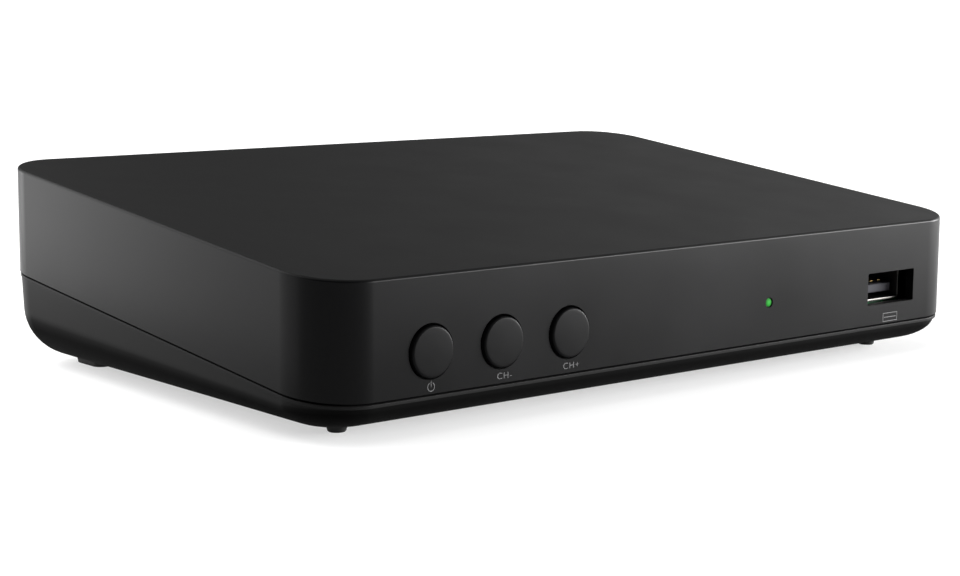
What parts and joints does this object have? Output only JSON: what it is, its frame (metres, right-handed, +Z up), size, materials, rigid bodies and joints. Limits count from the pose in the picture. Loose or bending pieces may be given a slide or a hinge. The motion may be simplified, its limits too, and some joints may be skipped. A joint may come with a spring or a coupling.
{
  "type": "tv decoder box",
  "caption": "Wedge-shaped black plastic television decoder box with round push buttons, a status light, a data socket in front and picture, sound, antenna and power sockets behind.",
  "frame": {"origin": "middle of the whole object's outline in plan, on the plane that the feet stand on", "axes": "+X to the right as seen from the front, +Y from the front to the back, +Z up"},
  "size_m": [0.168, 0.1146, 0.0402],
  "materials": {
    "case_plastic": "satin",
    "button_plastic": "satin",
    "panel_plastic": "matte",
    "foot_rubber": "matte",
    "board_laminate": "satin",
    "chip_resin": "matte",
    "capacitor_sleeve": "gloss",
    "pale_insulator": "satin",
    "dark_insulator": "satin",
    "orange_insulator": "gloss",
    "clear_pipe": "clear gloss",
    "green_lamp": "gloss",
    "nickel": "satin plate",
    "tin_plate": "satin",
    "gold_contact": "satin plate",
    "aluminium": "satin",
    "zinc_steel": "zinc plated"
  },
  "bodies": {
    "box": {"top_cover": "case_plastic", "base_shell": "case_plastic", "rear_panel": "panel_plastic", "button_guide": "panel_plastic", "front_left_foot": "foot_rubber", "front_right_foot": "foot_rubber", "rear_left_foot": "foot_rubber", "rear_right_foot": "foot_rubber", "main_board": "board_laminate", "main_chip": "chip_resin", "memory_chip": "chip_resin", "flash_chip": "chip_resin", "infrared_receiver": "chip_resin", "power_inductor": "chip_resin", "power_capacitor": "capacitor_sleeve", "filter_capacitor": "capacitor_sleeve", "antenna_in_insulator": "pale_insulator", "antenna_out_insulator": "pale_insulator", "data_socket_tongue": "dark_insulator", "picture_socket_tongue": "dark_insulator", "audio_video_jack": "dark_insulator", "power_jack": "dark_insulator", "power_switch": "dark_insulator", "channel_down_switch": "dark_insulator", "channel_up_switch": "dark_insulator", "digital_audio_insert": "orange_insulator", "light_pipe": "clear_pipe", "status_led": "green_lamp", "data_socket_shell": "nickel", "picture_socket_shell": "nickel", "antenna_in_socket": "nickel", "antenna_out_socket": "nickel", "antenna_out_pin": "nickel", "digital_audio_socket": "nickel", "power_jack_pin": "nickel", "tuner_shield": "tin_plate", "clock_crystal": "tin_plate", "data_contact_1": "gold_contact", "data_contact_2": "gold_contact", "data_contact_3": "gold_contact", "data_contact_4": "gold_contact", "heat_sink": "aluminium", "case_screw_front_left": "zinc_steel", "case_screw_front_right": "zinc_steel", "case_screw_rear_left": "zinc_steel", "case_screw_rear_right": "zinc_steel", "board_screw_left": "zinc_steel", "board_screw_right": "zinc_steel"},
    "power_control": {"power_button": "button_plastic", "power_plunger": "pale_insulator"},
    "channel_down_control": {"channel_down_button": "button_plastic", "channel_down_plunger": "pale_insulator"},
    "channel_up_control": {"channel_up_button": "button_plastic", "channel_up_plunger": "pale_insulator"}
  },
  "joints": [
    {"name": "power_press", "type": "slide", "parent": "box", "child": "power_control", "axis": [0, 1, 0], "range_m": [0, 0.0005], "stiffness_N_per_m": 400},
    {"name": "channel_down_press", "type": "slide", "parent": "box", "child": "channel_down_control", "axis": [0, 1, 0], "range_m": [0, 0.0005], "stiffness_N_per_m": 400},
    {"name": "channel_up_press", "type": "slide", "parent": "box", "child": "channel_up_control", "axis": [0, 1, 0], "range_m": [0, 0.0005], "stiffness_N_per_m": 400}
  ]
}
